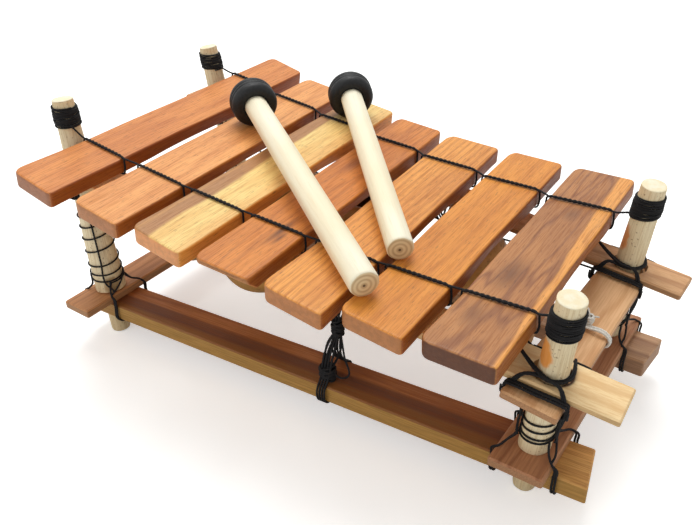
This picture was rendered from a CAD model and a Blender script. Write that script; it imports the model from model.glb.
"""A small seven-bar balafon on a lashed stand, with two mallets lying on its bars."""
import math
import bmesh
import bpy
import numpy as np
from mathutils import Matrix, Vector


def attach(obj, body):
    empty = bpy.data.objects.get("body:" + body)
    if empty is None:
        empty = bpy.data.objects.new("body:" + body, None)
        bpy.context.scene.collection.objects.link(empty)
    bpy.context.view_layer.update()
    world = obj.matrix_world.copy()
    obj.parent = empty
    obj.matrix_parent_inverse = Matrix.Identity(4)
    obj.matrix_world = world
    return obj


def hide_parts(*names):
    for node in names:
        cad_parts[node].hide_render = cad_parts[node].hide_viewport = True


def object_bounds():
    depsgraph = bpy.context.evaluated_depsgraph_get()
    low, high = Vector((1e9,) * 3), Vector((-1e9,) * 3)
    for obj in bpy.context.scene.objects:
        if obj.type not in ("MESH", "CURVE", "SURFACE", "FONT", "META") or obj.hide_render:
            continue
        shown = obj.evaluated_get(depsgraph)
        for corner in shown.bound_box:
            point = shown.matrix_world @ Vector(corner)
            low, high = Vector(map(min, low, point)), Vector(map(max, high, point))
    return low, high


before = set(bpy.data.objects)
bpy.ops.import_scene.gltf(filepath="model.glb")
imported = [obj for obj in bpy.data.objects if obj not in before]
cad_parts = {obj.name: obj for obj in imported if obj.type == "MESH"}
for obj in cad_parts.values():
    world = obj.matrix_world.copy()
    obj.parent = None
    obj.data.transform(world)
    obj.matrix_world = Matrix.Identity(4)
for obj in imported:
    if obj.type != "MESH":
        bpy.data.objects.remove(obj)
cad_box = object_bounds()
scene = bpy.context.scene

# The camera stands in front of the right half and looks down to the left, as the
# photographer did. Its place and angles were solved from the bars and the posts.
CAMERA_AT = (0.26746, -0.39795, 0.38216)
YAW, PITCH, ROLL = (math.radians(angle) for angle in (34.18, -32.7, -2.01))
FOCAL_PIXELS = 769.0
IMAGE_WIDTH = 700
SENSOR = 36.0
NEAREST = 0.01

flat = np.array([math.cos(YAW), math.sin(YAW), 0.0])
ahead = np.array([-math.sin(YAW) * math.cos(PITCH), math.cos(YAW) * math.cos(PITCH), math.sin(PITCH)])
upward = np.cross(flat, ahead)
axes = np.eye(4)
axes[:3, 0] = math.cos(ROLL) * flat + math.sin(ROLL) * upward
axes[:3, 1] = math.cos(ROLL) * upward - math.sin(ROLL) * flat
axes[:3, 2] = -ahead
axes[:3, 3] = CAMERA_AT
camera_data = bpy.data.cameras.new("camera")
camera_data.sensor_width = SENSOR
camera_data.lens = FOCAL_PIXELS / IMAGE_WIDTH * SENSOR
camera_data.clip_start = NEAREST
camera = bpy.data.objects.new("camera", camera_data)
camera.matrix_world = Matrix(axes.tolist())
scene.collection.objects.link(camera)
scene.camera = camera
scene.view_settings.view_transform = "Standard"

# The table is a wide white sheet under soft light: one large lamp high behind the
# left end, a weak one from the front, and an even pale sky.
LAMPS = {  # place, size and power
    "key_lamp": ((-0.6, 0.75, 2.4), 1.5, 41.0),
    "fill_lamp": ((-1.2, -1.9, 1.2), 1.6, 8.0),
}
LAMP_AIM = (0.0, 0.0, 0.08)
SKY_COLOUR = (1.0, 0.985, 0.96, 1.0)
SKY_STRENGTH = 0.54
WHITE = (1.0, 1.0, 1.0, 1.0)
PAPER_COLOUR = (0.93, 0.945, 0.94, 1.0)
PAPER_GLOW = 0.43
HALF_FLOOR = 6.0
FLOOR_DEPTH = 0.0004


def unit(vector):
    """The vector divided by its own length."""
    return vector / np.linalg.norm(vector)


def node(tree, kind, inputs=None, **settings):
    """Adds one shader node. A value in inputs is a constant, or a socket to link from."""
    made = tree.nodes.new(kind)
    for key, value in settings.items():
        setattr(made, key, value)
    for key, value in (inputs or {}).items():
        if isinstance(value, bpy.types.NodeSocket):
            tree.links.new(value, made.inputs[key])
        else:
            made.inputs[key].default_value = value
    return made


def maths(tree, operation, *values):
    """One step of arithmetic on numbers."""
    return node(tree, "ShaderNodeMath", dict(enumerate(values)), operation=operation).outputs[0]


def finish_of(name, build, *facts):
    """A node material whose Principled shader takes its links from build(tree, shader, *facts)."""
    material = bpy.data.materials.new(name)
    material.use_nodes = True
    tree = material.node_tree
    build(tree, tree.nodes["Principled BSDF"], *facts)
    return material


def paper(tree, shader):
    """White paper, evened out by a little light of its own where the camera sees it."""
    shader.inputs["Base Color"].default_value = PAPER_COLOUR
    shader.inputs["Roughness"].default_value = 0.9
    shader.inputs["Specular IOR Level"].default_value = 0.0
    shader.inputs["Emission Color"].default_value = WHITE
    rays = node(tree, "ShaderNodeLightPath").outputs
    glow = maths(tree, "MULTIPLY", rays["Is Camera Ray"], PAPER_GLOW)
    tree.links.new(glow, shader.inputs["Emission Strength"])


for name, (place, size, power) in LAMPS.items():
    data = bpy.data.lights.new(name, "AREA")
    data.size, data.energy = size, power
    lamp = bpy.data.objects.new(name, data)
    lamp.location = place
    aim = unit(np.array(LAMP_AIM) - np.array(place))
    side = unit(np.cross(aim, [0.0, 0.0, 1.0]))
    turn = Matrix(np.stack([side, np.cross(side, aim), -aim], axis=1).tolist())
    lamp.rotation_euler = turn.to_euler()
    scene.collection.objects.link(lamp)

world = bpy.data.worlds.new("sky")
world.use_nodes = True
scene.world = world
air = world.node_tree
sky = air.nodes["Background"]
sky.inputs["Color"].default_value = SKY_COLOUR
sky.inputs["Strength"].default_value = SKY_STRENGTH
white = node(air, "ShaderNodeBackground", {"Color": WHITE, "Strength": 1.0})
rays = node(air, "ShaderNodeLightPath").outputs
seen = maths(air, "MAXIMUM", rays["Is Camera Ray"], rays["Is Glossy Ray"])
mixed = node(air, "ShaderNodeMixShader", {0: seen, 1: sky.outputs[0], 2: white.outputs[0]})
air.links.new(mixed.outputs[0], air.nodes["World Output"].inputs["Surface"])

corners = ((-1, -1), (1, -1), (1, 1), (-1, 1))
sheet = bpy.data.meshes.new("table")
sheet.from_pydata([(x * HALF_FLOOR, y * HALF_FLOOR, -FLOOR_DEPTH) for x, y in corners], [], [(0, 1, 2, 3)])
sheet.materials.append(finish_of("white_paper", paper))
table = bpy.data.objects.new("table", sheet)
scene.collection.objects.link(table)

# The posts are peeled round branches, whittled a little flat in places. Each leans,
# gets thinner to the top, and is cut down to a thin foot that goes through the boards.
POSTS = {
    "left_front": {
        "foot": (-0.17657, -0.08319, 0.0), "top": (-0.19417, -0.07499, 0.1910), "base": 0.0122, "tip": 0.0077,
        "stain": (0.40, 0.25, 0.11), "spot": (0.0100, -0.0060, 0.0440), "spread": (0.006, 0.006, 0.008)},
    "right_front": {
        "foot": (0.16783, -0.06472, 0.0), "top": (0.18293, -0.07412, 0.1533), "base": 0.0100, "tip": 0.0082,
        "stain": (0.88, 0.32, 0.035), "spot": (-0.0060, -0.0066, 0.1170), "spread": (0.006, 0.006, 0.0095)},
    "left_back": {
        "foot": (-0.16937, 0.08210, 0.0), "top": (-0.19647, 0.08020, 0.1859), "base": 0.0106, "tip": 0.0076,
        "stain": (0.45, 0.28, 0.13), "spot": (0.0060, -0.0070, 0.1400), "spread": (0.004, 0.004, 0.009)},
    "right_back": {
        "foot": (0.16923, 0.06659, 0.0), "top": (0.18753, 0.05709, 0.1607), "base": 0.0100, "tip": 0.0080,
        "stain": (0.76, 0.27, 0.07), "spot": (-0.0076, -0.0046, 0.1220), "spread": (0.005, 0.005, 0.0100)},
}
FOOT_RADIUS = 0.0076
POST_CHAMFER = 0.0006
SHOULDER = 0.0386
FACET_DEPTH = 0.034
POST_ROWS = 64
POST_SIDES = 48
BOX_MARGIN = 0.0001
CUT_CREAM = ((0.93, 0.82, 0.56), (0.96, 0.90, 0.70))

for post in POSTS.values():
    post["foot"], post["top"] = np.array(post["foot"]), np.array(post["top"])


def ring_faces(rows, columns, closed):
    """Four-sided faces between each ring of points and the next, and back to the first if closed."""
    row = np.arange(rows if closed else rows - 1)[:, None]
    column = np.arange(columns)[None, :]
    after, below = (column + 1) % columns, (row + 1) % rows
    return np.stack([row * columns + column, row * columns + after,
                     below * columns + after, below * columns + column], axis=-1).reshape(-1, 4)


def piece(name, points, faces, marks, finish, body, stands_for):
    """A smooth mesh that stands for one CAD node. Its marks are kept as its attribute place."""
    mesh = bpy.data.meshes.new(name)
    mesh.from_pydata(points.tolist(), [], faces)
    shape = bmesh.new()
    shape.from_mesh(mesh)
    bmesh.ops.recalc_face_normals(shape, faces=shape.faces)
    shape.to_mesh(mesh)
    shape.free()
    mark = mesh.attributes.new("place", "FLOAT_VECTOR", "POINT")
    mark.data.foreach_set("vector", marks.astype(np.float32).ravel())
    mesh.polygons.foreach_set("use_smooth", [True] * len(mesh.polygons))
    mesh.materials.append(finish)
    made = bpy.data.objects.new(name, mesh)
    scene.collection.objects.link(made)
    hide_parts(stands_for)
    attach(made, body)
    return made


def shell(name, rings, local, finish, body, stands_for, closed=False):
    """A mesh from rings of points (rows, columns, xyz), each ring closed on itself. Each end is
    drawn in to one point, or the last row meets the first if closed. Its marks are local."""
    rows, columns = rings.shape[:2]
    points, marks = rings.reshape(-1, 3), local.reshape(-1, 3)
    faces = ring_faces(rows, columns, closed).tolist()
    if not closed:
        points = np.vstack([points, rings[0].mean(axis=0), rings[-1].mean(axis=0)])
        marks = np.vstack([marks, local[0].mean(axis=0), local[-1].mean(axis=0)])
        one = np.arange(columns)
        two, base, pole = (one + 1) % columns, (rows - 1) * columns, np.full(columns, rows * columns)
        faces += np.stack([pole, two, one], axis=1).tolist()
        faces += np.stack([pole + 1, base + one, base + two], axis=1).tolist()
    return piece(name, points, faces, marks, finish, body, stands_for)


def frame_about(along, beside):
    """Three unit vectors, across, across and along a line. The first is square to beside too."""
    along = unit(along)
    first = unit(np.cross(beside, along))
    return np.stack([first, np.cross(along, first), along])


def around(sides, along):
    """A grid of angles, one column a side, and of the values along, one a row."""
    return np.meshgrid(np.linspace(0, 2 * np.pi, sides, endpoint=False), along)


def lathed(radius, angle, height):
    """Points at a radius and an angle about the Z axis, at a height."""
    return np.stack([radius * np.cos(angle), radius * np.sin(angle), height], axis=-1)


def vector_maths(tree, operation, *values):
    """One step of arithmetic on vectors."""
    made = node(tree, "ShaderNodeVectorMath", dict(enumerate(values)), operation=operation)
    return made.outputs["Value" if operation == "LENGTH" else "Vector"]


def noise(tree, vector, scale, detail, rough=0.5):
    """Smooth noise between 0 and 1."""
    return node(tree, "ShaderNodeTexNoise", {
        "Vector": vector, "Scale": scale, "Detail": detail, "Roughness": rough}).outputs["Fac"]


def parts(tree, vector):
    """The X, Y and Z of a vector."""
    return node(tree, "ShaderNodeSeparateXYZ", {0: vector}).outputs


def far_from(tree, where, spot, stretch):
    """How far a point is from a spot, each axis stretched by its own share."""
    off = vector_maths(tree, "SUBTRACT", where, spot)
    return vector_maths(tree, "LENGTH", vector_maths(tree, "MULTIPLY", off, stretch))


def grain_group():
    """Wood figure along local Y. Rings are bands of a slow noise plus the distance across,
    fibre is a noise drawn out along the grain, and blotch is a slow change of tone."""
    group = bpy.data.node_groups.new("wood_grain", "ShaderNodeTree")
    face = group.interface
    for label, kind in (("Vector", "Vector"), ("Rings per metre", "Float"), ("Swirl", "Float")):
        face.new_socket(label, in_out="INPUT", socket_type=f"NodeSocket{kind}")
    for label in ("Rings", "Fibre", "Blotch", "Pores"):
        face.new_socket(label, in_out="OUTPUT", socket_type="NodeSocketFloat")
    start = node(group, "NodeGroupInput").outputs
    end = node(group, "NodeGroupOutput").inputs

    def drawn(share, *look):
        return noise(group, vector_maths(group, "MULTIPLY", start["Vector"], (1.0, share, 1.0)), *look)

    split = parts(group, start["Vector"])
    across = maths(group, "MULTIPLY_ADD", split["Z"], 0.7, split["X"])
    rings = maths(group, "MULTIPLY", across, start["Rings per metre"])
    bent = maths(group, "MULTIPLY_ADD", drawn(0.11, 42.0, 2.5, 0.55), start["Swirl"], rings)
    pores = {"Value": drawn(0.09, 1500.0, 1.0), "From Min": 0.62, "From Max": 0.74}
    for label, value in {
            "Rings": maths(group, "POWER", maths(group, "PINGPONG", bent, 1.0), 2.2),
            "Fibre": drawn(0.03, 1150.0, 4.0, 0.62), "Blotch": drawn(0.28, 34.0, 3.0),
            "Pores": node(group, "ShaderNodeMapRange", pores).outputs[0]}.items():
        group.links.new(value, end[label])
    return group


GRAIN = grain_group()


def grain(tree, vector, density, swirl):
    """The wood figure read at a vector whose Y runs along the grain."""
    return node(tree, "ShaderNodeGroup", {
        "Vector": vector, "Rings per metre": density, "Swirl": swirl}, node_tree=GRAIN).outputs


def blend(tree, share, first, second, mode="MIX"):
    """The colour between two others, each a socket or a constant."""
    first, second = (c if isinstance(c, bpy.types.NodeSocket) else (*c, 1.0) for c in (first, second))
    made = node(tree, "ShaderNodeMix", {0: share, 6: first, 7: second}, data_type="RGBA", blend_type=mode)
    return made.outputs[2]


def mapped(tree, value, low, high, to_low=0.0, to_high=1.0):
    """A value stretched from one span to another and held inside it."""
    return node(tree, "ShaderNodeMapRange", {
        "Value": value, "From Min": low, "From Max": high, "To Min": to_low, "To Max": to_high,
    }, interpolation_type="SMOOTHSTEP").outputs[0]


def wash(tree, tone, colour, value, *spans):
    """The tone with a colour laid over it by as much as the value maps to."""
    return blend(tree, mapped(tree, value, *spans), tone, colour)


def turned(tree, source, turn=(0.0, 0.0, 0.0), shift=(0.0, 0.0, 0.0)):
    """Coordinates shifted and turned, so that their Y runs along a piece's grain."""
    inputs = {"Vector": source, "Location": shift, "Rotation": turn}
    return node(tree, "ShaderNodeMapping", inputs, vector_type="TEXTURE").outputs[0]


def place_of(tree):
    """Where a point is on its own piece, kept as an attribute when the piece is made."""
    return node(tree, "ShaderNodeAttribute", attribute_name="place").outputs["Vector"]


def branch_grain(tree, where, density, swirl):
    """The figure of a round stick, whose grain runs along Z."""
    return grain(tree, turned(tree, where, turn=(math.radians(90), 0.0, 0.0)), density, swirl)


def coat(tree, shader, tone, height, depth, low, high):
    """Links a finish: its tone, and a roughness between two bounds and a bump from one height."""
    tree.links.new(tone, shader.inputs["Base Color"])
    tree.links.new(mapped(tree, height, 0.3, 0.7, low, high), shader.inputs["Roughness"])
    bump = node(tree, "ShaderNodeBump", {"Height": height, "Distance": depth, "Strength": 0.7})
    tree.links.new(bump.outputs[0], shader.inputs["Normal"])


def peeled(tree, shader, post, length):
    """Peeled branch wood: pale beige with brown specks, faint streaks and one stain, and a
    clean cream cut at the top."""
    where = place_of(tree)
    figure = branch_grain(tree, where, 260.0, 5.0)
    tone = wash(tree, (0.74, 0.58, 0.33), (0.86, 0.74, 0.50), figure["Blotch"], 0.35, 0.65)
    tone = wash(tree, tone, (0.55, 0.37, 0.17), figure["Fibre"], 0.46, 0.62, 0.0, 0.42)
    tone = wash(tree, tone, (0.27, 0.15, 0.06), noise(tree, where, 520.0, 2.0), 0.63, 0.74, 0.0, 0.7)
    cloud = noise(tree, where, 180.0, 3.0)
    far = far_from(tree, where, post["spot"], tuple(1.0 / s for s in post["spread"]))
    torn = maths(tree, "MULTIPLY_ADD", cloud, 0.8, far)
    tone = wash(tree, tone, post["stain"], torn, 1.15, 1.6, 0.9, 0.0)
    cut = wash(tree, *CUT_CREAM, cloud, 0.35, 0.65)
    tone = wash(tree, tone, cut, parts(tree, where)["Z"], length - 0.0008, length - 0.0004)
    coat(tree, shader, tone, figure["Fibre"], 0.0006, 0.62, 0.85)


def post_rings(post, seed):
    """Radius = taper with height, times one less a share of |cos(2.5 a + slow turn)| for the
    flats and of slow waves; drawn in at the foot, the shoulder and the top."""
    line = post["top"] - post["foot"]
    length = np.linalg.norm(line)
    axes = frame_about(line, (0.0, 1.0, 0.0))
    shoulder = SHOULDER / axes[2, 2]
    height = np.concatenate([
        [0.0, POST_CHAMFER, 0.0024], np.linspace(0.006, shoulder - 0.0002, 8),
        [shoulder, shoulder + 0.0004],
        np.linspace(shoulder + 0.003, length - POST_CHAMFER, POST_ROWS),
        [length - POST_CHAMFER / 3, length],
    ])
    radius = np.interp(height, [shoulder, length], [post["base"], post["tip"]])
    radius[height < shoulder] = FOOT_RADIUS
    radius[height == 0.0] = FOOT_RADIUS - POST_CHAMFER
    radius[height == POST_CHAMFER] = FOOT_RADIUS - POST_CHAMFER / 2
    radius[height >= length - POST_CHAMFER / 3] = post["tip"] - POST_CHAMFER / 4
    radius[height >= length] = post["tip"] - POST_CHAMFER
    a, h = around(POST_SIDES, height)
    flats = np.abs(np.cos(2.5 * a + seed + 6.0 * np.sin(9.0 * h + seed)))
    wave = 0.3 * np.sin(3 * a + 40 * h + seed) + 0.2 * np.sin(2 * a - 70 * h)
    local = lathed(radius[:, None] * (1 - FACET_DEPTH * flats - 0.012 * np.abs(wave)), a, h)
    rings = post["foot"] + local @ axes
    low, z = (height < shoulder)[:, None], rings[..., 2]
    rings[..., 2] = np.where(
        low, np.clip(z, 0.0, SHOULDER), np.clip(z, SHOULDER, cad_box[1][2] - BOX_MARGIN))
    return rings, local


for order, (corner, post) in enumerate(POSTS.items()):
    rings, local = post_rings(post, 1.3 * order)
    finish = finish_of(f"{corner}_branch", peeled, post, math.dist(post["foot"], post["top"]))
    made = shell(f"{corner}_branch", rings, local, finish, "stand", f"{corner}_post")
    made.modifiers.new("even", "WEIGHTED_NORMAL")

# The boards are sawn strips. The lower rails lie flat under their cross planks, and
# the thin upper rails lie over theirs, higher at the bass end. They stay as in CAD.
LOWER_HEIGHT = 0.031
UPPER_HEIGHT = 0.0957
UPPER_RISE = 0.0383
BOARD_FACES = {  # the heights of its lower and upper face over its plane
    ("lower", "rail"): (-0.0135, 0.0), ("lower", "plank"): (0.0003, 0.0073),
    ("upper", "rail"): (0.0003, 0.0053), ("upper", "plank"): (-0.006, 0.0),
}
BOARD_FACTS = ("width", "narrowing", "shift", "before", "after", "rings", "light", "dark", "side")
BOARDS = {
    "lower_front_rail": (0.0286, -0.0049, 0.0040, 0.014, 0.036, 150.0,
                         (0.48, 0.17, 0.045), (0.27, 0.075, 0.015), (0.48, 0.25, 0.05)),
    "lower_back_rail": (0.0286, -0.0049, 0.0040, 0.014, 0.032, 130.0,
                        (0.56, 0.33, 0.18), (0.28, 0.13, 0.06), (0.45, 0.25, 0.14)),
    "lower_left_plank": (0.0270, 0.001, 0.0, 0.0335, 0.028, 120.0,
                         (0.60, 0.28, 0.11), (0.38, 0.15, 0.055), (0.45, 0.22, 0.09)),
    "lower_right_plank": (0.0345, 0.001, 0.0, 0.0255, 0.028, 140.0,
                          (0.52, 0.24, 0.11), (0.30, 0.11, 0.045), (0.45, 0.22, 0.10)),
    "upper_front_rail": (0.0320, 0.002, 0.0, 0.030, 0.0415, 110.0,
                         (0.93, 0.69, 0.37), (0.74, 0.46, 0.20), (0.74, 0.48, 0.22)),
    "upper_back_rail": (0.0280, 0.002, 0.0, 0.030, 0.038, 150.0,
                        (0.68, 0.39, 0.19), (0.46, 0.22, 0.09), (0.48, 0.25, 0.11)),
    "upper_left_plank": (0.0280, 0.004, 0.0, 0.026, 0.021, 130.0,
                         (0.68, 0.38, 0.17), (0.45, 0.21, 0.08), (0.50, 0.26, 0.11)),
    "upper_right_plank": (0.0335, 0.004, 0.0015, 0.026, 0.021, 120.0,
                          (0.80, 0.48, 0.24), (0.58, 0.28, 0.11), (0.50, 0.25, 0.11)),
}
RAIL_STRIPS = (  # from and to across the lower front rail, colour and amount
    (0.008, 0.004, (0.10, 0.026, 0.006), 0.85), (-0.002, -0.006, (0.27, 0.105, 0.016), 0.9))
PALE_END = (0.80, 0.43, 0.12)
PALE_END_START = 0.010
HOLE_RIM = (0.07, 0.015, 0.008)
HOLE_SHIFT = 0.0016
HOLE_HEIGHTS = {"left": 0.138, "right": 0.1}


def on_axis(post, height):
    """The point of a post's axis at a height."""
    return post["foot"] + (post["top"] - post["foot"]) * height / post["top"][2]


def on_plane(post, plane):
    """The point of a post's axis where z = height + slope * (start - x)."""
    height, slope, start = plane
    line = post["top"] - post["foot"]
    rise = height + slope * (start - post["foot"][0]) - post["foot"][2]
    return post["foot"] + line * rise / (line[2] + slope * line[0])


right_x = on_axis(POSTS["right_front"], UPPER_HEIGHT)[0]
left_x = on_axis(POSTS["left_front"], UPPER_HEIGHT + UPPER_RISE)[0]
PLANES = {"lower": (LOWER_HEIGHT, 0.0, 0.0),
          "upper": (UPPER_HEIGHT, UPPER_RISE / (right_x - left_x), right_x)}


def board_of(name):
    """A board's facts with its origin on the first post's axis, its span, and unit vectors
    along, across and out of it. Local along runs to the right or to the back."""
    level, place, kind = name.split("_")
    ends = [f"left_{place}", f"right_{place}"] if kind == "rail" else [f"{place}_front", f"{place}_back"]
    start, finish = (on_plane(POSTS[end], PLANES[level]) for end in ends)
    normal = unit(np.array([PLANES[level][1], 0.0, 1.0]))
    along = unit(finish - start)
    low, top = BOARD_FACES[level, kind]
    return {**dict(zip(BOARD_FACTS, BOARDS[name])), "name": name, "ends": ends, "low": low, "top": top, "at": start,
            "span": np.linalg.norm(finish - start), "along": along, "across": np.cross(normal, along), "normal": normal}


def sawn(tree, shader, board, shift):
    """Sawn board: ring bands along the line between its posts, strips of other colour, darker
    cut sides, a rough fibre, and a dark burnt rim where an upper rail's hole shows by a post."""
    where = node(tree, "ShaderNodeTexCoord").outputs["Object"]
    rail = board["name"].endswith("rail")
    start, finish = (POSTS[end]["foot"] for end in board["ends"])
    slope = math.atan2(finish[1] - start[1], finish[0] - start[0])
    lined = turned(tree, where, (0.0, 0.0, slope + math.radians(90 if rail else -90)), (start[0], start[1], shift))
    figure = grain(tree, lined, board["rings"], 7.0)
    tone = wash(tree, board["light"], board["dark"], figure["Rings"], 0.1, 0.9)
    tone = wash(tree, tone, board["light"], figure["Blotch"], 0.3, 0.7, 0.0, 0.55)
    if board["name"] == "lower_front_rail":
        for low, high, colour, amount in RAIL_STRIPS:
            tone = wash(tree, tone, colour, parts(tree, lined)["X"], low, high, 0.0, amount)
        edge = finish[0] + PALE_END_START
        tone = wash(tree, tone, PALE_END, parts(tree, where)["X"], edge, edge + 0.004, 0.0, 0.8)
    tone = wash(tree, tone, board["dark"], figure["Fibre"], 0.42, 0.62, 0.0, 0.45)
    normal = node(tree, "ShaderNodeNewGeometry").outputs["Normal"]
    level = maths(tree, "ABSOLUTE", parts(tree, normal)["Z"])
    side = wash(tree, board["side"], tuple(0.72 * c for c in board["side"]), figure["Fibre"], 0.35, 0.65)
    tone = wash(tree, side, tone, level, 0.35, 0.75)
    for end in board["ends"] if rail and board["name"].startswith("upper") else ():
        spot = on_axis(POSTS[end], HOLE_HEIGHTS[end.split("_")[0]])
        far = far_from(tree, where, (spot[0] + HOLE_SHIFT, spot[1], 0.0), (1.0, 1.0, 0.0))
        tone = wash(tree, tone, HOLE_RIM, far, 0.0098, 0.0112, 0.95, 0.0)
    coat(tree, shader, tone, figure["Fibre"], 0.0005, 0.5, 0.72)


boards = {name: board_of(name) for name in BOARDS}
for order, (name, board) in enumerate(boards.items()):
    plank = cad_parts[name]
    plank.data.materials.clear()
    plank.data.materials.append(finish_of(f"{name}_wood", sawn, board, 0.07 * order))

# Each corner is tied with thin black cord. A band goes round the upper plank before the
# rail, two doubled strands cross over the rail in front of the post, and turns round the
# post below carry bundles and legs that hold the lower plank down on its rail.
LASH_RADIUS = 0.00085
LEG_RADIUS = LASH_RADIUS * 0.95
BUNDLE_RADIUS = LASH_RADIUS * 0.9
TURN_RADIUS = 0.00068
CORD_CLEARANCE = 0.00025
LIFT = LASH_RADIUS + CORD_CLEARANCE
LASH_STEP = 0.0012
LASH_SIDES = 8
TWIST_LENGTH = 0.0045
TURN_HEIGHTS = {
    "left_front": (0.0485, 0.0503, 0.0555, 0.063, 0.076, 0.087, 0.097, 0.105),
    "right_front": (0.0485, 0.0505, 0.0535, 0.060, 0.0655),
    "left_back": (0.050, 0.0525, 0.058, 0.066, 0.074, 0.085, 0.097),
    "right_back": (0.0485, 0.0505, 0.0535, 0.060, 0.0655),
}
CROSSING_TURNS = {-1: (-0.31, -0.22, -0.12, -0.02), 1: (-0.30, -0.38)}
CROSSING_REACH = {"left": 0.008, "right": 0.018}
BUNDLES = {"left": ((1, -0.13),), "right": ((-1, -0.44), (1, -0.03))}
EDGE_DROP = 0.0025
BUNDLE_STRANDS = {"left": 1, "right": 3}


def half_at(board, along):
    """Half the width of a tapered board at a place along it."""
    share = (along + board["before"]) / (board["before"] + board["span"] + board["after"])
    return (board["width"] - board["narrowing"] * share) / 2


def crossing(rail, plank, t, u, height):
    """The point t across the rail and u across the plank, from along = (u - offset) / (rail . plank across)."""
    start = rail["at"] + t * rail["across"] + height * rail["normal"]
    offset = np.dot(start - plank["at"], plank["across"])
    return start + rail["along"] * (plank["shift"] + u - offset) / np.dot(rail["along"], plank["across"])


def run_along(path):
    """How far along a path each of its points lies."""
    return np.concatenate([[0.0], np.cumsum(np.linalg.norm(np.diff(path, axis=0), axis=1))])


def route(points, closed=False, step=LASH_STEP):
    """Cubic Hermite through the points, its tangents from the chord lengths, read at even steps."""
    fixed = np.asarray(points, dtype=float)
    if closed:
        fixed = np.vstack([fixed[-3:], fixed, fixed[:3]])
    chord = run_along(fixed)
    slope = np.gradient(fixed, chord, axis=0)
    first, last = (chord[3], chord[-3]) if closed else (chord[0], chord[-1])
    ask = np.linspace(first, last, max(8, int((last - first) / (0.4 * step))))
    at = np.clip(np.searchsorted(chord, ask, side="right") - 1, 0, len(chord) - 2)
    gap = (chord[at + 1] - chord[at])[:, None]
    k = ((ask - chord[at]) / gap[:, 0])[:, None]
    path = (fixed[at] * (2 * k ** 3 - 3 * k ** 2 + 1) + slope[at] * gap * (k ** 3 - 2 * k ** 2 + k)
            + fixed[at + 1] * (3 * k ** 2 - 2 * k ** 3) + slope[at + 1] * gap * (k ** 3 - k ** 2))
    if closed:
        path = np.vstack([path[:-1], path[:1]])
    run = run_along(path)
    even = np.linspace(0.0, run[-1], max(6, int(run[-1] / step)))
    path = np.stack([np.interp(even, run, path[:, axis]) for axis in range(3)], axis=1)
    return path[:-1] if closed else path


def cord_rings(path, radius, closed=False):
    """Two plies twisted together: radius = a (0.74 + 0.26 |cos(phi)|), turned with the length.
    The ring's axes are the path's flattest direction made square to the path, and their cross."""
    before, after = (np.roll(path, 1, axis=0), np.roll(path, -1, axis=0)) if closed else (
        np.vstack([path[:1], path[:-1]]), np.vstack([path[1:], path[-1:]]))
    way = after - before
    way = way / np.maximum(np.linalg.norm(way, axis=1), 1e-9)[:, None]
    flattest = np.linalg.eigh(way.T @ way)[1][:, 0]
    first = flattest - way * (way @ flattest)[:, None]
    first = first / np.maximum(np.linalg.norm(first, axis=1), 1e-6)[:, None]
    second = np.cross(way, first)
    angle = np.linspace(0, 2 * np.pi, LASH_SIDES, endpoint=False)
    turn = 2 * np.pi * run_along(path) / TWIST_LENGTH
    if closed:
        turn = turn * np.round(turn[-1] / np.pi) * np.pi / max(turn[-1], 1e-6)
    size = radius * (0.74 + 0.26 * np.abs(np.cos(angle[None, :] - turn[:, None])))
    ring = np.cos(angle)[None, :, None] * first[:, None, :] + np.sin(angle)[None, :, None] * second[:, None, :]
    return path[:, None, :] + size[..., None] * ring


def tied(name, strands, body, stands_for, finish):
    """One mesh of many cords. A strand is its points, its radius and whether it closes on itself.
    A cord's marks are the length along it, the way round it and its number."""
    points, faces, marks, count = [], [], [], 0
    for order, (corners, radius, closed) in enumerate(strands):
        rings = cord_rings(route(corners, closed), radius, closed)
        rows, columns = rings.shape[:2]
        ring = np.arange(columns)
        faces += (ring_faces(rows, columns, closed) + count).tolist()
        if not closed:
            faces += [(count + ring[::-1]).tolist(), (count + (rows - 1) * columns + ring).tolist()]
        points.append(rings.reshape(-1, 3))
        turn, length = np.meshgrid(ring / columns * 0.004, np.arange(rows) * LASH_STEP)
        marks.append(np.stack([length, turn, np.full_like(turn, 0.05 * order)], axis=-1).reshape(-1, 3))
        count += rows * columns
    return piece(name, np.vstack(points), faces, np.vstack(marks), finish, body, stands_for)


def waxed(tree, shader):
    """Black twisted cord: a fine fibre noise along the length for tone, bump and a dull shine."""
    fibre = noise(tree, vector_maths(tree, "MULTIPLY", place_of(tree), (0.5, 1.6, 1.0)), 2600.0, 3.0)
    tone = wash(tree, (0.006, 0.006, 0.007), (0.020, 0.019, 0.020), fibre, 0.4, 0.66)
    shader.inputs["Specular IOR Level"].default_value = 0.25
    coat(tree, shader, tone, fibre, 0.0004, 0.6, 0.85)


BLACK_CORD = finish_of("black_cord", waxed)


def radius_at(post, height):
    """A post's radius at a height above its shoulder."""
    return np.interp(height, [SHOULDER, post["top"][2]], [post["base"], post["tip"]])


def round_post(post, height, turn, off):
    """A point beside a post: its axis at that height, plus its radius there and a distance off."""
    reach, angle = radius_at(post, height) + off, 2 * np.pi * turn
    return on_axis(post, height) + np.array([reach * math.cos(angle), reach * math.sin(angle), 0.0])


def laid(rail, point, height):
    """The point moved up or down until it is the given distance above a board's plane."""
    lift = height - np.dot(point - rail["at"], rail["normal"])
    return point + np.array([0.0, 0.0, lift / rail["normal"][2]])


def turns_round(post, heights, off, start, seed):
    """A helix whose height runs through the given heights, one a turn, and wavers a little."""
    lap = np.linspace(0, len(heights) - 1, 14 * (len(heights) - 1) + 1)
    height = np.interp(lap, np.arange(len(heights)), heights) + 0.0006 * np.sin(5.3 * lap + seed)
    return [round_post(post, h, start + k, off) for h, k in zip(height, lap)]


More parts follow.
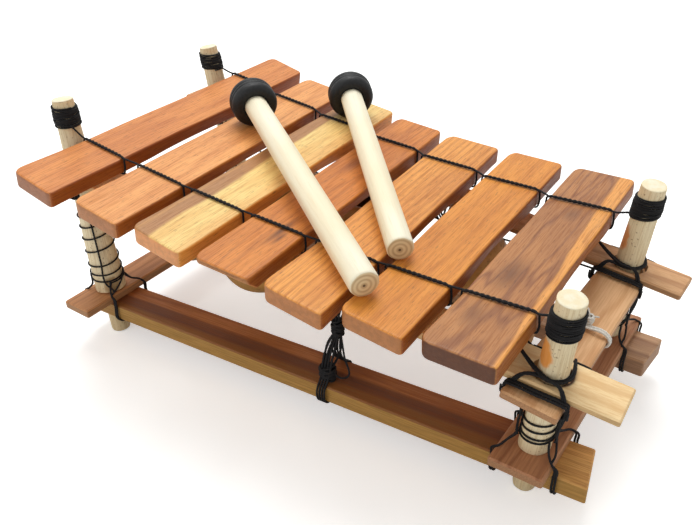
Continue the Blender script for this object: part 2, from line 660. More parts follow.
def section_round(half, low, off, inset, knees):
    """The corners of a turn round a board's section: one side, the bottom, the other side, the
    top. Knees add a point at each corner, for a stiffer cord."""
    knee = off * 0.75
    side = [(half - inset, off), (half + knee, knee), (half + off, -inset),
            (half + off, low + inset), (half + knee, low - knee), (half - inset, low - off)]
    side = side if knees else [side[k] for k in (0, 2, 3, 5)]
    return [*side, (0.0, low - off), *[(-u, z) for u, z in side[::-1]], (0.0, off)]


def corner_strands(corner, post):
    """All the strands of one corner's lashing, from the top down."""
    hand, row = corner.split("_")
    rail, plank = boards[f"upper_{row}_rail"], boards[f"upper_{hand}_plank"]
    low_rail, low_plank = boards[f"lower_{row}_rail"], boards[f"lower_{hand}_plank"]
    rail_half = half_at(rail, rail["span"] if hand == "right" else 0.0)
    plank_half, low_half = (half_at(b, b["span"] if row == "back" else 0.0) for b in (plank, low_plank))
    front, back, above = -rail_half - LIFT, rail_half + LIFT, rail["top"] + LIFT

    def upper(t, u, z):
        return crossing(rail, plank, t, u, z)

    def lower(t, u, z):
        return crossing(low_rail, low_plank, t, u, z)

    def beside(height, turn, off):
        return round_post(post, height, turn, off)

    bands = [(front - 2.05 * k * LASH_RADIUS, LIFT + 0.0004 * (k == 1)) for k in range(3)]
    bands += [(back + 2.1 * k * LASH_RADIUS, LIFT) for k in range(2)]
    strands = [([upper(t, u, z) for u, z in section_round(plank_half, plank["low"], off, 0.0012, True)],
                LASH_RADIUS, True) for t, off in bands]

    post_height = on_plane(post, PLANES["upper"])[2]
    for end, turns in CROSSING_TURNS.items():
        level = above + LASH_RADIUS * 1.8 * (end > 0)
        for double in (0, 1):
            start = -end * (plank_half - 0.001 - 0.0016 * double)
            ring = [laid(rail, beside(post_height, turn, LASH_RADIUS + 0.0015 * double), level) for turn in turns]
            leave = plank_half + CROSSING_REACH[hand] - 0.0016 * double if end > 0 else -plank_half + 0.008
            strands.append(([
                upper(front - 0.0005, start, LIFT * 1.4), upper(front + 0.0003, start * 0.92, rail["top"] * 0.7),
                upper(-rail_half + 0.0010, start * 0.76, above), *ring,
                upper(rail_half - 0.0008, leave, above), upper(back, leave, rail["top"] * 0.6),
                upper(back, leave, 0.0)], LASH_RADIUS, False))

    side = 1 if hand == "right" else -1
    heights = TURN_HEIGHTS[corner]
    strands.append((turns_round(post, heights, 0.5 * LASH_RADIUS, 0.1 * side, side), TURN_RADIUS, False))
    lowest, highest = heights[0], heights[:6][-1]
    face = half_at(low_rail, low_rail["span"] + low_half if hand == "right" else -low_half)
    near, far = low_rail["shift"] - face - LIFT, low_rail["shift"] + face + LIFT
    top, low = low_plank["top"] + LIFT, low_rail["low"]
    edge, inner = -low_half - LIFT - LASH_RADIUS, -low_half + 0.001
    leg = [lower(near * 0.96, inner, top), lower(near, edge, top - EDGE_DROP), lower(near, edge, 0.0)]
    tail = [lower(near * 0.7, inner, top + 0.0020), *leg] if hand == "left" else []
    for end, turn in BUNDLES[hand]:
        for double in range(BUNDLE_STRANDS[hand]):
            brink = -end * (plank_half + LIFT + 0.0008 * double)
            strands.append(([
                upper(front - 0.0022 * double, brink, -0.001),
                upper(front - 0.0016 * double, brink, plank["low"]),
                beside(highest + 0.013, turn - 0.012 * double, 0.0028 + 0.0010 * double),
                beside(highest, turn + 0.018 * double, 2.4 * LASH_RADIUS + 0.0006 * double),
                beside((lowest + highest) / 2, turn - 0.01 * double, 3.0 * LASH_RADIUS),
                beside(lowest, turn + 0.02 * double, 2.6 * LASH_RADIUS), *tail], BUNDLE_RADIUS, False))
    strands.append(([
        beside(lowest + 0.006, 0.10, 1.6 * LASH_RADIUS), beside(lowest, 0.02, 2.2 * LASH_RADIUS),
        lower(near * 0.6, inner, top + 0.0022), *leg], BUNDLE_RADIUS, False))

    for end in (-1, 1):
        for double in (0, 1):
            edge = -end * (low_half + LIFT + 2.0 * LASH_RADIUS * double)
            inner = -end * (low_half - 0.001)
            halves = [[
                beside(lowest + 0.002 * double, way * (0.25 - 0.16 * end), 1.8 * LASH_RADIUS),
                lower((t + 0.006 * way) / 2, inner * 0.8, top + 0.0035), lower(t * 0.94, inner, top),
                lower(t, edge, top - EDGE_DROP), lower(t, edge, 0.0), lower(t, edge, low + 0.001),
                lower(t - 0.0018 * way, edge, low - LIFT)] for t, way in ((near, -1), (far, 1))]
            strands.append(([*halves[0], lower((near + far) / 2, edge, low - LIFT), *halves[1][::-1]],
                            LEG_RADIUS, False))
    return strands


for corner, post in POSTS.items():
    made = tied(f"{corner}_tying", corner_strands(corner, post), "stand", f"{corner}_lashing", BLACK_CORD)

# In the middle of each side cord is drawn from the upper rail to the lower one, wound
# tightly round itself at its waist and knotted above a band that holds the lower rail.
CENTRE_PLACE = 0.046
CENTRE_DRIFT = 0.014
WAIST_SHARE = 0.52
WAIST_KNOT = (0.0042, 0.0080)
FOOT_KNOT = (0.0058, 0.0062)
FOOT_HEIGHT = 0.0068


def on_board(board, along, across, height):
    """A point of a board from its distances along, across and above it."""
    return board["at"] + along * board["along"] + across * board["across"] + height * board["normal"]


def tangle(centre, across, along, height, count, seed):
    """Closed turns on a rounded lump: each is a circle of the lump, tipped by its own angle."""
    loops = []
    for k in range(count):
        tip, spin = 0.55 * math.sin(2.4 * k + seed), 0.9 * k + seed
        angle = np.linspace(0, 2 * np.pi, 10, endpoint=False) + spin
        level = height * (0.8 * (k + 0.5) / count * 2 - 0.8)
        girth = across * math.sqrt(max(0.25, 1 - (level / height) ** 2 * 0.75))
        x, y = girth * np.cos(angle), girth * 0.85 * np.sin(angle)
        turned_out = y[:, None] * np.cross([0.0, 0.0, 1.0], along)
        loops.append(centre + x[:, None] * along + turned_out
                     + (level + tip * x)[:, None] * np.array([0.0, 0.0, 1.0]))
    return loops


def centre_strands(row):
    """The strands of one side's middle lashing: legs up, the waist, legs down, knot and band."""
    up, low = boards[f"upper_{row}_rail"], boards[f"lower_{row}_rail"]
    s_up = up["span"] / 2 + CENTRE_PLACE
    s_low = low["span"] / 2 + CENTRE_PLACE - CENTRE_DRIFT
    half_up, half_low = half_at(up, s_up), half_at(low, s_low)
    rise = WAIST_SHARE * (on_board(up, s_up, 0.0, 0.0)[2] - LOWER_HEIGHT)
    waist = on_board(low, s_low + CENTRE_DRIFT / 3, low["shift"], rise)
    foot = on_board(low, s_low, low["shift"] - half_low / 2, FOOT_HEIGHT)

    def off(point, x, y, z):
        return point + np.array([x, y, z])

    strands = []
    for end in (-1, 1):
        for k in (-1, 0, 1):
            strands.append(([
                *[on_board(up, s_up + 0.0026 * k, t, z) for t, z in (
                    (0.0, up["top"] + LIFT), (end * (half_up - 0.001), up["top"] + LIFT),
                    (end * (half_up + LIFT), up["top"] - 0.001), (end * (half_up + LIFT), up["low"]))],
                off(waist, 0.0016 * k, 0.0012 * end, 0.005), off(waist, -0.0012 * k, 0.0016 * end, -0.004),
            ], LASH_RADIUS, False))
        for k in (-1.5, -0.5, 0.5, 1.5):
            brink, bend = end * (half_low + LIFT), end * (half_low - 0.001)
            strands.append(([
                off(waist, 0.0012 * k, 0.001 * end, -0.003), off((waist + foot) / 2, 0.0022 * k, 0.004 * end, 0.0),
                *[on_board(low, s_low + 0.0019 * k, low["shift"] + t, z) for t, z in (
                    (bend * (0.95 if end > 0 else 1.0), LIFT), (brink, -0.001), (brink, low["low"] + 0.001),
                    (bend, low["low"] - LIFT), (0.0, low["low"] - LIFT))],
            ], LEG_RADIUS, False))
    for k in (-1.5, -0.5, 0.5, 1.5):
        strands.append(([
            off(waist, 0.0012 * k, 0.0, -0.004), off(waist * 0.6 + foot * 0.4, 0.0035 * k, 0.001, 0.0),
            off(foot, 0.0022 * k, 0.0, 0.003)], LASH_RADIUS, False))
    along = low["along"]
    for spot, (girth, height), share, count, seed in (
            (waist, WAIST_KNOT, (1.0, 1.0), 9, 0.4), (foot, FOOT_KNOT, (1.0, 1.0), 9, 1.7),
            (foot, FOOT_KNOT, (0.6, 0.7), 5, 0.9)):
        knot = tangle(spot, girth * share[0], along, height * share[1], count, seed)
        strands += [(loop, LASH_RADIUS, True) for loop in knot]
    side = foot + 0.016 * along
    strands.append(([
        off(waist, 0.002, 0.0, -0.002), off((waist + side) / 2, 0.001, 0.0, -0.002), off(side, 0.0, 0.0, 0.002),
        off(side, -0.003, -0.001, 0.0), off(foot, 0.004, 0.0, 0.0)], BUNDLE_RADIUS, False))
    return strands


for row in ("front", "back"):
    made = tied(f"{row}_middle_tying", centre_strands(row), "stand", f"{row}_centre_lashing", BLACK_CORD)

# Seven dried gourds hang mouth up below the bars. Each is a thin round shell cut open
# near its top, in two rows that alternate so that they fit between the rails.
GOURDS = [  # middle and radius
    ((-0.13976, -0.02443, 0.08404), 0.0370), ((-0.09417, 0.04144, 0.08782), 0.0330),
    ((-0.05026, -0.04241, 0.08984), 0.0315), ((-0.00661, 0.03150, 0.08793), 0.0300),
    ((0.03792, -0.03241, 0.08801), 0.0285), ((0.08139, 0.02862, 0.08801), 0.0270),
    ((0.12592, -0.03041, 0.08595), 0.0255),
]
GOURD_RIM_SHARE = 0.78
GOURD_WALL = 0.0030
GOURD_LOWEST = -math.pi / 2 + 0.03  # the angle of the first ring
GOURD_FLATNESS = 0.88
GOURD_ROWS = 40
GOURD_SIDES = 72


def gourd_rings(radius, seed):
    """Outside r = R cos(a) from the pole up to the cut, a rounded rim, and the inside back down,
    each drawn in and out by slow waves round and up the shell, and flatter below the middle."""
    cut = math.asin(GOURD_RIM_SHARE)
    inner = radius - GOURD_WALL
    inner_cut = math.asin(min(0.97, GOURD_RIM_SHARE * radius / inner))
    up = np.linspace(GOURD_LOWEST, cut, GOURD_ROWS)
    down = np.linspace(inner_cut, GOURD_LOWEST, GOURD_ROWS)
    rim = (radius * math.cos(cut) + inner * math.cos(inner_cut)) / 2
    profile = np.concatenate([
        np.stack([radius * np.cos(up), radius * np.sin(up)], axis=1),
        [[rim, radius * math.sin(cut) + 0.0005]],
        np.stack([inner * np.cos(down), inner * np.sin(down)], axis=1),
    ])
    a, r = around(GOURD_SIDES, profile[:, 0])
    z = np.broadcast_to(profile[:, 1][:, None], a.shape)
    wave = 1 - 0.008 - 0.006 * np.sin(3 * a + seed) * np.cos(20 * z) - 0.004 * np.sin(7 * a - seed + 60 * z)
    return lathed(r * wave, a, z * np.where(z < 0, GOURD_FLATNESS, 0.995))


def dried(tree, shader, seed):
    """Dried gourd skin: olive and orange brown clouds with dark scratches, paler at the cut."""
    where = turned(tree, place_of(tree), shift=(seed, 0.0, 0.0))
    fine = noise(tree, where, 240.0, 5.0, 0.7)
    tone = wash(tree, (0.30, 0.16, 0.045), (0.58, 0.28, 0.07), noise(tree, where, 26.0, 4.0, 0.6), 0.36, 0.64)
    tone = wash(tree, tone, (0.20, 0.09, 0.03), fine, 0.5, 0.7, 0.0, 0.6)
    height = parts(tree, place_of(tree))["Z"]
    tone = wash(tree, tone, (0.62, 0.44, 0.22), height, 0.0175, 0.0205, 0.0, 0.35)
    coat(tree, shader, tone, fine, 0.0004, 0.35, 0.6)


for order, (middle, radius) in enumerate(GOURDS):
    local = gourd_rings(radius, 1.1 * order)
    name = f"gourd_{order + 1}"
    finish = finish_of(f"{name}_skin", dried, 0.3 * order)
    made = shell(f"{name}_bowl", local + np.array(middle), local, finish, "stand", name)

# A thin cord runs beside each upper rail, tied at the cross planks, and dips through two
# holes near the mouth of each gourd to hold it.
GOURD_CORD_RADIUS = 0.00075
GOURD_CORD_DEPTH = 0.006
GOURD_CORD_CLEAR = 0.0035
LACE_DEPTH_SHARE = 0.55
LACE_WIDTH_SHARE = 0.6


def gourd_cord(row):
    """From plank to plank beside the rail, down to each gourd of the row and up again."""
    side = -1 if row == "front" else 1
    rail = boards[f"upper_{row}_rail"]
    ends = []
    for hand, along, way in (("left", 0.0, 1), ("right", rail["span"], -1)):
        plank = boards[f"upper_{hand}_plank"]
        half = half_at(plank, 0.0 if row == "front" else plank["span"])
        t = -side * (half_at(rail, along) + GOURD_CORD_CLEAR)
        ends.append(crossing(rail, plank, t, -way * (half + 0.0014), 0.0))
    points = [ends[0]]
    for middle, radius in GOURDS[0 if row == "front" else 1::2]:
        height = GOURD_RIM_SHARE * radius - GOURD_CORD_DEPTH
        reach = math.sqrt(radius ** 2 - height ** 2)
        centre = np.array(middle) + np.array([0.0, side * reach * LACE_DEPTH_SHARE, height])
        for step, drop in ((-1, 0.0), (0, GOURD_CORD_RADIUS), (1, 0.0)):
            points.append(centre + np.array([step * reach * LACE_WIDTH_SHARE, 0.0, -drop]))
    return points + [ends[1]]


for row in ("front", "back"):
    strand = (gourd_cord(row), GOURD_CORD_RADIUS, False)
    made = tied(f"{row}_gourd_string", [strand], "stand", f"{row}_gourd_cord", BLACK_CORD)

# The bars are sawn hardwood, planed and oiled, with worn edges. Each is scooped out
# underneath to tune it, so that the low bars are longer and thinner in the middle.
BAR_FACTS = ("length", "width", "front", "turn", "flare", "cuts")
BARS = [
    (0.2740, 0.0380, -0.1330, 0.0034, 0.0026, (0.0022, 0.0050)),
    (0.2616, 0.0406, -0.1303, -0.0016, 0.0010, (0.0022, 0.0014)),
    (0.2552, 0.0424, -0.1278, -0.0004, 0.0019, (0.0040, 0.0032)),
    (0.2448, 0.0406, -0.1260, -0.0014, 0.0015, (-0.0006, 0.0019)),
    (0.2426, 0.0430, -0.1267, -0.0040, 0.0029, (0.0055, 0.0015)),
    (0.2374, 0.0411, -0.1216, -0.0010, 0.0024, (0.0050, 0.0014)),
    (0.2343, 0.0436, -0.1197, 0.0000, 0.0019, (0.0016, 0.0016)),
]
BAR_GAPS = (0.0125, 0.0084, 0.0081, 0.0088, 0.00735, 0.00825)
BAR_THICKNESS = 0.0118
CORNER_LEFT = 0.0085
CORNER_RIGHT_FRONT = 0.0034
CORNER_RIGHT_BACK = 0.0052
SHOULDER_SHARE = 0.2
BAR_WEAR = 0.0019
END_STEPS = (0.0, 0.0002, 0.0006, 0.0012, 0.0019, 0.0028, 0.0040, 0.0055, 0.0070, 0.0095)
END_REACH = 0.012
UNDERCUT_BAR = 3
UNDERCUT_SHARE = 0.72
UNDERCUT_LENGTH = 0.0095
SCOOP_DEPTH = 0.0034
SCOOP_DEPTH_LOWEST = 0.0014
SCOOP_LENGTH = 0.096
BAR_RISE_BASS = 0.0246
BAR_HEIGHT_LOW = 0.1355
SAG_LOW_SHARE = 0.93
ROW_SHIFT = (-0.00692, -0.00442)
STRIP_LEAN = 0.03
SAWN_SIDE = (0.52, 0.34, 0.12)
LINE_TONE = (0.66, 0.50, 0.36)
PORE_TONE = (0.10, 0.03, 0.01)
LOOK_FACTS = ("light", "dark", "end", "contrast", "rings", "swirl", "seed")
BAR_LOOKS = [  # the facts above, and what else shows on that bar
    ((0.76, 0.29, 0.070), (0.54, 0.165, 0.035), (0.40, 0.165, 0.08), 0.5, 130.0, 5.0, 0.0, {}),
    ((0.92, 0.43, 0.14), (0.62, 0.22, 0.055), (0.50, 0.205, 0.078), 0.5, 150.0, 5.0, 0.37, {"slant": 0.02}),
    ((0.97, 0.73, 0.28), (0.80, 0.45, 0.13), (0.82, 0.35, 0.13), 0.45, 110.0, 4.0, 0.81, {
        "side": (0.95, 0.60, 0.30),
        "strips": ((-0.0015, -0.0045, (0.40, 0.17, 0.065), 0.9), (0.014, 0.022, (0.88, 0.52, 0.18), 0.7))}),
    ((0.72, 0.26, 0.045), (0.44, 0.13, 0.022), (0.50, 0.21, 0.07), 0.6, 90.0, 9.0, 1.23, {
        "side": (0.70, 0.62, 0.5), "knots": (
            (0.0050, -0.0720, 0.0034, 0.16, (0.07, 0.022, 0.008)),
            (0.0095, -0.0800, 0.0022, 0.20, (0.10, 0.03, 0.01)),
            (-0.006, 0.030, 0.006, 0.3, (0.26, 0.08, 0.03)))}),
    ((0.84, 0.37, 0.075), (0.52, 0.17, 0.030), (0.53, 0.21, 0.07), 0.6, 380.0, 1.6, 1.77, {}),
    ((0.78, 0.31, 0.045), (0.54, 0.18, 0.024), (0.50, 0.20, 0.065), 0.5, 140.0, 4.0, 2.31, {}),
    ((0.52, 0.23, 0.075), (0.27, 0.10, 0.035), (0.13, 0.044, 0.018), 0.9, 80.0, 17.0, 2.93, {
        "side": (0.42, 0.26, 0.07), "strips": ((0.0205, 0.0222, (0.84, 0.38, 0.09), 0.95),), "knots": (
            (-0.006, -0.040, 0.010, 0.45, (0.15, 0.055, 0.02)),
            (0.0, 0.045, 0.006, 0.5, (0.22, 0.09, 0.035)),
            (-0.008, -0.085, 0.008, 0.5, (0.22, 0.085, 0.03)))}),
]

bars = [dict(zip(BAR_FACTS, facts)) for facts in BARS]
widths = np.array([bar["width"] for bar in bars])
bar_xs = np.concatenate([[0.0], np.cumsum((widths[:-1] + widths[1:]) / 2 + np.array(BAR_GAPS))])
bar_xs = bar_xs - bar_xs[-1] / 2
low_x = (2 * SAG_LOW_SHARE - 1) * bar_xs[-1]
sag_rate = BAR_RISE_BASS / (bar_xs[-1] + low_x) ** 2
for order, (bar, x) in enumerate(zip(bars, bar_xs)):
    height = BAR_HEIGHT_LOW + sag_rate * (x - low_x) ** 2
    bar.update(order=order, name=f"bar_{order + 1}", back=bar["front"] + bar["length"], x=x,
               tilt=math.atan(2 * sag_rate * (low_x - x)),
               at=np.array([x + ROW_SHIFT[0], ROW_SHIFT[1], height]))


def on_bar(bar, local):
    """Points given across, along and above a bar, turned by its tilt and put in place."""
    c, s = math.cos(bar["tilt"]), math.sin(bar["tilt"])
    x, y, z = local[..., 0], local[..., 1], local[..., 2]
    return np.stack([c * x + s * z, y, c * z - s * x], axis=-1) + bar["at"]


def bar_rings(bar):
    """Section = a rectangle with worn edges. Each side falls in by R - sqrt(R^2 - (R - d)^2) at a
    distance d < R from an end, the left one is flared to the front, the ends are cut askew, the
    underside is hollowed by a parabola, and the whole is turned a little about its middle."""
    front, back, width, seed = bar["front"], bar["back"], bar["width"], bar["order"]
    steps = np.array(END_STEPS)
    y = np.concatenate([front + steps, np.linspace(front + END_REACH, back - END_REACH, 40), (back - steps)[::-1]])
    d = np.minimum(y - front, back - y)

    def rounding(radius):
        return radius - np.sqrt(np.clip(radius ** 2 - np.clip(radius - d, 0, None) ** 2, 0, None))

    middle = (front + back) / 2
    near_front = y < middle
    wear = rounding(BAR_WEAR)
    right_corner = np.where(near_front, rounding(CORNER_RIGHT_FRONT), rounding(CORNER_RIGHT_BACK))
    flare = bar["flare"] * np.clip(1 - (y - front) / (bar["length"] * SHOULDER_SHARE), 0, 1)
    wave = (0.0003 * np.sin(23 * y + 2.1 * seed) + 0.00022 * np.sin(61 * y + seed)) * np.clip(d / 0.01, 0, 1)
    left = -width / 2 - flare + 0.8 * rounding(CORNER_LEFT) + 0.6 * wear + wave
    right = width / 2 - 0.8 * right_corner - 0.6 * wear + wave
    depth = SCOOP_DEPTH if bar["order"] else SCOOP_DEPTH_LOWEST
    low = -BAR_THICKNESS + wear + depth * np.clip(1 - (2 * (y - middle) / SCOOP_LENGTH) ** 2, 0, None)
    if bar["order"] == UNDERCUT_BAR:
        low = low + (UNDERCUT_SHARE * BAR_THICKNESS) * np.clip(1 - (y - front) / UNDERCUT_LENGTH, 0, 1)
    top = -wear
    quarters = ((1, 1, 0.0), (-1, 1, np.pi / 2), (-1, -1, np.pi), (1, -1, 1.5 * np.pi))
    columns = np.array([(sx, sz, math.cos(a + t), math.sin(a + t))
                        for sx, sz, a in quarters for t in np.linspace(0, np.pi / 2, 5)])
    edge = np.minimum(BAR_WEAR, (top - low) / 2 * 0.98)[:, None]
    half_x, half_z = ((right - left) / 2)[:, None], ((top - low) / 2)[:, None]
    px = ((left + right) / 2)[:, None] + columns[None, :, 0] * (half_x - edge) + edge * columns[None, :, 2]
    pz = ((top + low) / 2)[:, None] + columns[None, :, 1] * (half_z - edge) + edge * columns[None, :, 3]
    cut = np.where(near_front, *bar["cuts"])[:, None] * np.clip(1 - d / 0.05, 0, 1)[:, None]
    py = y[:, None] - cut * px / width
    swing = bar["turn"] / bar["length"]
    return np.stack([px + swing * (py - middle), py - swing * px, pz], axis=-1)


def oiled(tree, shader, look):
    """Oiled hardwood: ring figure, fine lines and dark pores, strips of sapwood along the
    edges, knots, sawn sides that took the oil darker, and dull end grain."""
    where = place_of(tree)
    seed = (look["seed"], look["seed"], 0.0)
    figure = grain(tree, turned(tree, where, (0.0, 0.0, look["slant"]), seed), look["rings"], look["swirl"])
    tone = wash(tree, look["light"], look["dark"], figure["Rings"], 0.0, 1.0, 0.0, look["contrast"])
    tone = wash(tree, tone, look["dark"], figure["Blotch"], 0.35, 0.68, 0.0, 0.5)
    split = parts(tree, where)
    wander = maths(tree, "MULTIPLY_ADD", figure["Blotch"], 0.012, split["X"])
    leaning = maths(tree, "MULTIPLY_ADD", split["Y"], STRIP_LEAN, wander)
    for low, high, colour, amount in look["strips"]:
        toned = wash(tree, colour, look["dark"], figure["Rings"], 0.2, 1.0, 0.0, 0.25)
        tone = wash(tree, tone, toned, leaning, low, high, 0.0, amount)
    for x, y, size, stretch, colour in look["knots"]:
        far = far_from(tree, where, (x, y, 0.0), (1.0, stretch, 0.0))
        torn = maths(tree, "MULTIPLY_ADD", figure["Fibre"], size, far)
        tone = wash(tree, tone, colour, torn, 0.4 * size, 1.7 * size, 0.85, 0.0)
    lined = blend(tree, 0.75, tone, LINE_TONE, "MULTIPLY")
    tone = wash(tree, tone, lined, figure["Fibre"], 0.44, 0.64, 0.0, 0.8)
    tone = blend(tree, figure["Pores"], tone, blend(tree, 0.5, tone, PORE_TONE))
    normal = parts(tree, node(tree, "ShaderNodeNewGeometry").outputs["Normal"])
    sides, ends = (maths(tree, "ABSOLUTE", normal[axis]) for axis in "XY")
    tone = wash(tree, tone, blend(tree, 1.0, tone, look["side"], "MULTIPLY"), sides, 0.5, 0.85)
    rings = noise(tree, where, 320.0, 3.0)
    dull = wash(tree, look["end"], tuple(0.84 * c for c in look["end"]), rings, 0.35, 0.65)
    tone = wash(tree, tone, dull, ends, 0.6, 0.9)
    shader.inputs["Specular IOR Level"].default_value = 0.4
    coat(tree, shader, tone, figure["Fibre"], 0.0003, 0.36, 0.56)


for bar, (*facts, more) in zip(bars, BAR_LOOKS):
    local = bar_rings(bar)
    look = {"slant": 0.0, "side": SAWN_SIDE, "strips": (), "knots": (), **dict(zip(LOOK_FACTS, facts)), **more}
    finish = finish_of(f"{bar['name']}_wood", oiled, look)
    made = shell(f"{bar['name']}_key", on_bar(bar, local), local, finish, f"{bar['name']}_body", bar["name"])
    made.modifiers.new("even", "WEIGHTED_NORMAL")

# Two long cords carry the bars. One strand runs from post to post over all the bars, and a
# second strand goes round each bar and is twisted with the first where both lie on top.
SUSPENSION_RADIUS = 0.00075
SUSPENSION_OFFSET = 0.00062
SUSPENSION_TWIST = 0.0066
OVER_POINTS = 25
OVER_BEND = 0.0022
NODES = {"front": (0.0615, 0.0513), "back": (0.0515, 0.0542)}  # in from the end, bass and treble
WRAPS = {  # how far below the post's top its winding starts, and its height
    "left_front": (0.0048, 0.0138), "right_front": (0.0082, 0.0155),
    "left_back": (0.0054, 0.0128), "right_back": (0.0080, 0.0150),
}
LEAVING = np.array([0.35, -0.75, 0.0])


def node_y(row, x):
    """The line of one row of nodes, straight from the first bar to the last."""
    share = (x - bars[0]["x"]) / (bars[-1]["x"] - bars[0]["x"])
    way = 1 if row == "front" else -1
    first, last = (bar[row] + way * inset for bar, inset in zip((bars[0], bars[-1]), NODES[row]))
    return first * (1 - share) + last * share


def bar_offset(bar, y):
    """How far a turned bar's middle line stands to the side at y."""
    return bar["turn"] * (y - (bar["front"] + bar["back"]) / 2) / bar["length"]


def over_bar(bar, row):
    """The middle line of both strands on top of a bar, from its left edge to its right one."""
    lift = SUSPENSION_RADIUS + SUSPENSION_OFFSET + 0.00005
    y = node_y(row, bar["x"])
    reach = bar["width"] / 2 - 0.0006
    across = np.linspace(-reach, reach, OVER_POINTS)
    ends = np.clip((np.abs(across) - reach + OVER_BEND) / OVER_BEND, 0, 1)
    return np.stack([bar_offset(bar, y) + across, np.full(OVER_POINTS, y), lift - 0.0006 * ends ** 2], axis=1)


def plied(local, phase):
    """One of two plies round a line: it is moved off the line by a circle that turns with the length."""
    turn = 2 * np.pi * (local[:, 0] - local[0, 0]) / SUSPENSION_TWIST + phase
    grip = np.sin(np.pi * np.linspace(0.06, 0.94, len(local))) ** 0.35
    return local + SUSPENSION_OFFSET * np.stack(
        [np.zeros(len(local)), np.cos(turn) * grip, np.sin(turn) * grip], axis=1)


def long_strand(row):
    """From the left post over every bar to the right post, straight between the bars. It leaves
    the left post at the bottom of its winding and meets the right one at the height of the bar."""
    points, share = [], np.array([0.25, 0.5, 0.75])[:, None]
    for bar in bars:
        top = on_bar(bar, plied(over_bar(bar, row), 0.0))
        if points:
            points.append(points[-1][-1] * (1 - share) + top[0] * share)
        points.append(top)
    ends = []
    for hand, edge in (("left", points[0][0]), ("right", points[-1][-1])):
        post, left = POSTS[f"{hand}_{row}"], hand == "left"
        height = post["top"][2] - sum(WRAPS[f"left_{row}"]) + 0.002 if left else edge[2] + 0.001
        axis = on_axis(post, height)
        way = unit((edge - axis) * np.array([1.0, 1.0, 0.0]))
        if left:
            way = unit(way + LEAVING * (1 if row == "front" else 0.4))
        ends.append(axis + way * (radius_at(post, height) + 0.0011))
    return np.vstack([ends[0], *points, ends[1]])


def bar_strand(bar, row):
    """Over the bar as the second ply, down its right side, under it and up its left side."""
    top = plied(over_bar(bar, row), np.pi)
    y = node_y(row, bar["x"])
    off = SUSPENSION_RADIUS + CORD_CLEARANCE
    side, low, shift = bar["width"] / 2 + off, -BAR_THICKNESS - off, bar_offset(bar, y)
    down = [(side - 0.0003, 0.0002), (side, -0.0022), (side, low + 0.003), (side - 0.0008, low + 0.0008),
            (side - 0.003, low), (0.0, low + 0.0002)]
    loop = [(x, z) for x, z in down] + [(-x, z) for x, z in down[-2::-1]]
    return on_bar(bar, np.vstack([top, [(shift + x, y, z) for x, z in loop]]))


for row in ("front", "back"):
    strand = (long_strand(row), SUSPENSION_RADIUS, False)
    made = tied(f"{row}_long_cord", [strand], "stand", f"{row}_bar_cord", BLACK_CORD)
    for bar in bars:
        name, strand = bar["name"], (bar_strand(bar, row), SUSPENSION_RADIUS, True)
        made = tied(f"{name}_{row}_ply", [strand], f"{name}_body", f"{name}_{row}_loop", BLACK_CORD)

# The cords' ends are wound round each post just below its top, in two close layers whose
# turns wander and cross, so that the winding bulges a little.
WRAP_RADIUS = 0.00048
WRAP_BULGE = 0.0002
WRAP_PITCHES = (1.75, 2.1)
SLANT_TURNS = 1.25


def winding(post, wrap, seed):
    """Two helices, one over the other: height falls by a pitch each turn and wavers with the
    angle. One more strand crosses both on a slant."""
    below, tall = wrap
    top = post["top"][2] - below
    low = top - tall
    strands = []
    for layer, pitch in enumerate(WRAP_PITCHES):
        turns = tall / (pitch * WRAP_RADIUS)
        lap = np.linspace(0, turns, int(22 * turns))
        share = lap / turns
        waver = (0.0007 * layer * np.sin(2 * np.pi * lap * 0.83 + seed)
                 + 0.0003 * np.sin(2 * np.pi * lap * 1.37 + 2 * seed))
        height = np.clip(low + tall * share + waver, low, top)
        swell = (WRAP_BULGE * np.sin(np.pi * share) * (1 + 0.5 * np.sin(7.1 * lap + seed))
                 + layer * 1.1 * WRAP_RADIUS)
        strands.append(([round_post(post, h, a + 0.3 * seed, 0.6 * WRAP_RADIUS + s)
                         for h, a, s in zip(height, lap, swell)], WRAP_RADIUS, False))
    slant = np.linspace(0, SLANT_TURNS, 26) / SLANT_TURNS
    strands.append(([round_post(post, low + tall * (0.15 + 0.55 * k), k + 0.4 * seed, 2.5 * WRAP_RADIUS)
                     for k in slant], WRAP_RADIUS, False))
    return strands


for order, (corner, post) in enumerate(POSTS.items()):
    strands = winding(post, WRAPS[corner], 1.0 + order)
    made = tied(f"{corner}_head_winding", strands, "stand", f"{corner}_top_winding", BLACK_CORD)

# A short piece of white cotton string is tied round the right upper plank, with two turns
# side by side and a frayed knot on top.
TIE_RADIUS = 0.00095
TIE_PLACE = 0.053
TIE_ENDS = ((0.0045, 0.003, 0.004), (0.002, -0.005, 0.0025), (-0.005, 0.003, 0.0015))


def cotton(tree, shader):
    """Soft white cotton: warm grey in the hollows of a fine fibre noise."""
    fibre = noise(tree, place_of(tree), 2200.0, 3.0)
    tone = wash(tree, (0.62, 0.58, 0.50), (0.90, 0.88, 0.83), fibre, 0.35, 0.6)
    coat(tree, shader, tone, fibre, 0.0005, 0.8, 0.95)


